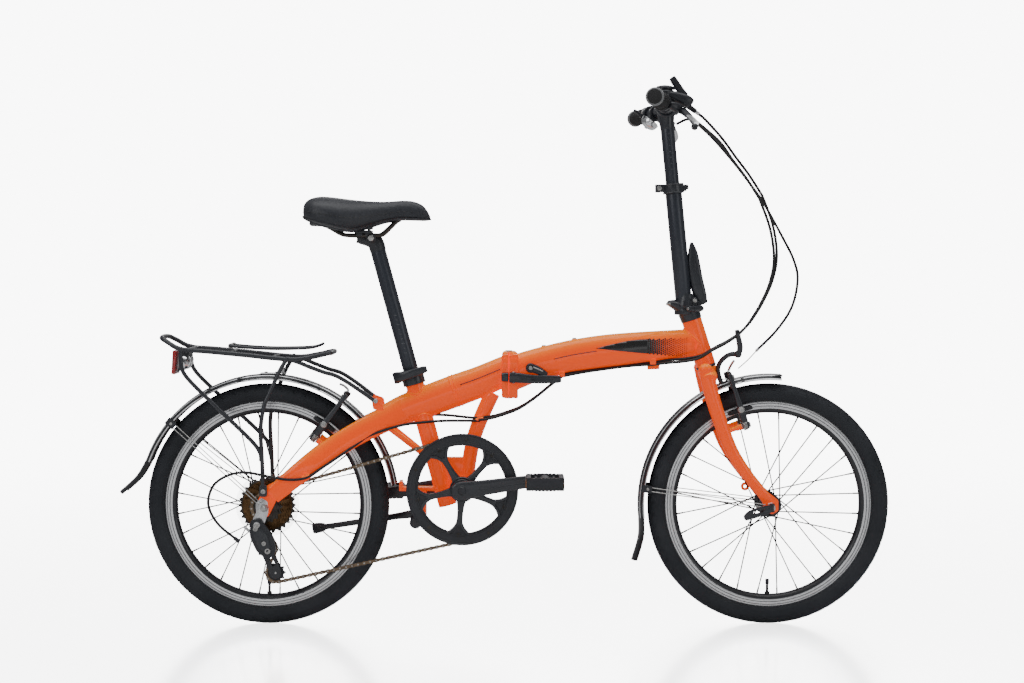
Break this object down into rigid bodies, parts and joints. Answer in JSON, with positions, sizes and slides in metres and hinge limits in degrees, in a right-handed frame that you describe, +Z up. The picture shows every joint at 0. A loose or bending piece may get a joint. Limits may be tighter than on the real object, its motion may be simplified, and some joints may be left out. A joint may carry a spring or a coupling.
{
  "type": "folding bicycle",
  "caption": "Folding bicycle with small spoked wheels, a hinged curved frame, telescoping handlepost and seatpost, rack, mudguards and derailleur gears.",
  "frame": {"origin": "on the ground, in the middle of the footprint", "axes": "+X forward, +Y to the rider's left, +Z up"},
  "size_m": [1.588, 0.5864, 1.116],
  "materials": {
    "orange_paint": "gloss orange paint with darker shading on the sides",
    "black_paint": "satin black paint",
    "black_plastic": "moulded black plastic with a fine grain",
    "tyre_rubber": "black tyre rubber with a moulded tread",
    "grip_rubber": "soft black rubber with a moulded pattern",
    "saddle_cover": "black synthetic leather with stitched seams",
    "polished_metal": "polished or machined light alloy",
    "dark_steel": "oiled dark steel",
    "red_lens": "red prismatic reflector plastic"
  },
  "bodies": {
    "rear_frame_assembly": {"rear_frame": "orange_paint", "frame_hinge_pin": "polished_metal", "seat_clamp_collar": "black_paint", "bottom_bracket_cartridge": "polished_metal", "rear_mudguard": "black_plastic", "rear_rack": "black_paint", "rear_reflector": "red_lens", "rear_axle": "polished_metal", "chain": "dark_steel", "rear_derailleur_body": "black_plastic"},
    "crank_assembly": {"bottom_bracket_spindle": "dark_steel", "chainring": "black_paint", "chain_guard_ring": "black_plastic", "left_crank": "black_paint", "right_crank": "black_paint"},
    "left_pedal_assembly": {"left_pedal": "black_plastic"},
    "right_pedal_assembly": {"right_pedal": "black_plastic"},
    "rear_wheel_assembly": {"rear_tyre": "tyre_rubber", "rear_rim": "polished_metal", "rear_hub_and_spokes": "black_paint"},
    "freewheel_assembly": {"freewheel_sprockets": "dark_steel"},
    "derailleur_cage_assembly": {"derailleur_cage": "dark_steel"},
    "guide_pulley_assembly": {"guide_pulley": "black_plastic"},
    "tension_pulley_assembly": {"tension_pulley": "black_plastic"},
    "seatpost_assembly": {"seatpost": "black_paint", "saddle": "saddle_cover", "saddle_rails": "dark_steel"},
    "seat_lever_assembly": {"seat_clamp_lever": "black_paint"},
    "kickstand_assembly": {"kickstand_leg": "black_paint"},
    "rack_clip_assembly": {"rack_spring_clip": "black_paint"},
    "rear_left_brake_assembly": {"rear_left_brake_arm": "black_paint"},
    "rear_right_brake_assembly": {"rear_right_brake_arm": "black_paint"},
    "front_frame_assembly": {"front_frame": "orange_paint", "front_cables": "black_plastic"},
    "frame_latch_assembly": {"frame_hinge_lever": "black_paint"},
    "fork_assembly": {"fork": "orange_paint", "front_mudguard": "black_plastic", "front_axle": "polished_metal", "handlepost_hinge_base": "black_paint"},
    "front_wheel_assembly": {"front_tyre": "tyre_rubber", "front_rim": "polished_metal", "front_hub_and_spokes": "black_paint"},
    "front_release_assembly": {"front_quick_release_lever": "black_paint"},
    "front_left_brake_assembly": {"front_left_brake_arm": "black_paint"},
    "front_right_brake_assembly": {"front_right_brake_arm": "black_paint"},
    "lower_post_assembly": {"lower_handlepost": "black_paint"},
    "post_latch_assembly": {"handlepost_latch_lever": "black_paint"},
    "post_clamp_assembly": {"handlepost_clamp_lever": "black_paint"},
    "handlebar_assembly": {"upper_handlepost": "black_paint", "handlebar": "black_paint", "left_grip": "grip_rubber", "right_grip": "grip_rubber", "left_brake_lever_mount": "black_plastic", "right_brake_lever_mount": "black_plastic", "shifter_case": "black_plastic", "bell": "polished_metal"},
    "left_lever_assembly": {"left_brake_lever": "polished_metal"},
    "right_lever_assembly": {"right_brake_lever": "polished_metal"},
    "shifter_lever_assembly": {"shifter_lever": "black_plastic"},
    "bell_striker_assembly": {"bell_striker": "black_plastic"}
  },
  "joints": [
    {"name": "frame_fold", "type": "hinge", "parent": "rear_frame_assembly", "child": "front_frame_assembly", "pos_m": [0.01, 0.043, 0.5135], "axis": [0, 0, 1], "range_deg": [0, 150], "deforming": ["front_cables"]},
    {"name": "frame_latch", "type": "hinge", "parent": "front_frame_assembly", "child": "frame_latch_assembly", "pos_m": [0.019, -0.037, 0.512], "axis": [0, 0, -1], "range_deg": [0, 120]},
    {"name": "steering", "type": "hinge", "parent": "front_frame_assembly", "child": "fork_assembly", "pos_m": [0.386, 0, 0.629], "axis": [-0.304, 0, 0.9527], "range_deg": [-50, 50]},
    {"name": "handlepost_fold", "type": "hinge", "parent": "fork_assembly", "child": "lower_post_assembly", "pos_m": [0.391, -0.021, 0.6525], "axis": [0.7071, 0.7071, 0], "range_deg": [0, 150]},
    {"name": "handlepost_latch", "type": "hinge", "parent": "lower_post_assembly", "child": "post_latch_assembly", "pos_m": [0.4135, 0.01, 0.668], "axis": [0, 1, 0], "range_deg": [0, 110]},
    {"name": "handlepost_height", "type": "slide", "parent": "lower_post_assembly", "child": "handlebar_assembly", "axis": [-0.0976, 0, 0.9952], "range_m": [-0.12, 0.02]},
    {"name": "handlepost_clamp", "type": "hinge", "parent": "lower_post_assembly", "child": "post_clamp_assembly", "pos_m": [0.31836, 0.0175, 0.89874], "axis": [-0.0976, 0, 0.9952], "range_deg": [0, 120]},
    {"name": "left_brake_squeeze", "type": "hinge", "parent": "handlebar_assembly", "child": "left_lever_assembly", "pos_m": [0.35398, 0.15604, 1.04555], "axis": [0, 0, 1], "range_deg": [0, 15]},
    {"name": "right_brake_squeeze", "type": "hinge", "parent": "handlebar_assembly", "child": "right_lever_assembly", "pos_m": [0.35398, -0.15604, 1.04555], "axis": [0, 0, -1], "range_deg": [0, 15]},
    {"name": "gear_shift", "type": "hinge", "parent": "handlebar_assembly", "child": "shifter_lever_assembly", "pos_m": [0.31952, -0.12, 1.062], "axis": [0, 0, 1], "range_deg": [0, 72]},
    {"name": "bell_strike", "type": "hinge", "parent": "handlebar_assembly", "child": "bell_striker_assembly", "pos_m": [0.28799, 0.101, 1.0553], "axis": [-0.6, 0, -0.8], "range_deg": [0, 25]},
    {"name": "front_wheel_spin", "type": "hinge", "parent": "fork_assembly", "child": "front_wheel_assembly", "pos_m": [0.545, 0, 0.249], "axis": [0, 1, 0], "continuous": true},
    {"name": "front_quick_release", "type": "hinge", "parent": "fork_assembly", "child": "front_release_assembly", "pos_m": [0.545, -0.072, 0.249], "axis": [0, 0, 1], "range_deg": [0, 120]},
    {"name": "front_left_brake_close", "type": "hinge", "parent": "fork_assembly", "child": "front_left_brake_assembly", "pos_m": [0.488, 0.038, 0.412], "axis": [0.9527, 0, 0.304], "range_deg": [0, 3.3]},
    {"name": "front_right_brake_close", "type": "hinge", "parent": "fork_assembly", "child": "front_right_brake_assembly", "pos_m": [0.488, -0.038, 0.412], "axis": [-0.9527, 0, -0.304], "range_deg": [0, 3.3]},
    {"name": "rear_left_brake_close", "type": "hinge", "parent": "rear_frame_assembly", "child": "rear_left_brake_assembly", "pos_m": [-0.383, 0.038, 0.385], "axis": [0.7972, 0, -0.6037], "range_deg": [0, 3.3]},
    {"name": "rear_right_brake_close", "type": "hinge", "parent": "rear_frame_assembly", "child": "rear_right_brake_assembly", "pos_m": [-0.383, -0.038, 0.385], "axis": [-0.7972, 0, 0.6037], "range_deg": [0, 3.3]},
    {"name": "crank_spin", "type": "hinge", "parent": "rear_frame_assembly", "child": "crank_assembly", "pos_m": [-0.085, 0, 0.284], "axis": [0, 1, 0], "continuous": true},
    {"name": "left_pedal_spin", "type": "hinge", "parent": "crank_assembly", "child": "left_pedal_assembly", "pos_m": [-0.25223, 0.09, 0.2596], "axis": [0, 1, 0], "continuous": true},
    {"name": "right_pedal_spin", "type": "hinge", "parent": "crank_assembly", "child": "right_pedal_assembly", "pos_m": [0.08223, -0.09, 0.3084], "axis": [0, 1, 0], "continuous": true},
    {"name": "rear_wheel_spin", "type": "hinge", "parent": "rear_frame_assembly", "child": "rear_wheel_assembly", "pos_m": [-0.486, 0, 0.249], "axis": [0, 1, 0], "continuous": true},
    {"name": "freewheel_spin", "type": "hinge", "parent": "rear_frame_assembly", "child": "freewheel_assembly", "pos_m": [-0.486, 0, 0.249], "axis": [0, 1, 0], "continuous": true},
    {"name": "derailleur_shift", "type": "slide", "parent": "rear_frame_assembly", "child": "derailleur_cage_assembly", "axis": [0, 1, 0], "range_m": [0, 0.0302], "deforming": ["chain"]},
    {"name": "guide_pulley_spin", "type": "hinge", "parent": "derailleur_cage_assembly", "child": "guide_pulley_assembly", "pos_m": [-0.484, -0.058, 0.163], "axis": [0, 1, 0], "continuous": true},
    {"name": "tension_pulley_spin", "type": "hinge", "parent": "derailleur_cage_assembly", "child": "tension_pulley_assembly", "pos_m": [-0.465, -0.058, 0.115], "axis": [0, 1, 0], "continuous": true},
    {"name": "seatpost_height", "type": "slide", "parent": "rear_frame_assembly", "child": "seatpost_assembly", "axis": [-0.2622, 0, 0.965], "range_m": [-0.2, 0.02]},
    {"name": "seat_clamp", "type": "hinge", "parent": "rear_frame_assembly", "child": "seat_lever_assembly", "pos_m": [-0.21975, -0.0185, 0.50914], "axis": [0.2622, 0, -0.965], "range_deg": [0, 120]},
    {"name": "kickstand_swing", "type": "hinge", "parent": "rear_frame_assembly", "child": "kickstand_assembly", "pos_m": [-0.18, 0.052, 0.222], "axis": [-0.1017, -0.9126, -0.396], "range_deg": [0, 79.5]},
    {"name": "rack_clip_lift", "type": "hinge", "parent": "rear_frame_assembly", "child": "rack_clip_assembly", "pos_m": [-0.56, 0, 0.576], "axis": [0, -1, 0], "range_deg": [0, 60]}
  ],
  "couplings": [
    {"joint": "freewheel_spin", "follows": "crank_spin", "ratio": 3.7143},
    {"joint": "guide_pulley_spin", "follows": "crank_spin", "ratio": -5.2},
    {"joint": "tension_pulley_spin", "follows": "crank_spin", "ratio": 5.2},
    {"joint": "derailleur_shift", "follows": "gear_shift", "m_per_rad": 0.023873},
    {"joint": "front_left_brake_close", "follows": "left_brake_squeeze", "ratio": 0.21},
    {"joint": "front_right_brake_close", "follows": "left_brake_squeeze", "ratio": 0.21},
    {"joint": "rear_left_brake_close", "follows": "right_brake_squeeze", "ratio": 0.21},
    {"joint": "rear_right_brake_close", "follows": "right_brake_squeeze", "ratio": 0.21}
  ]
}
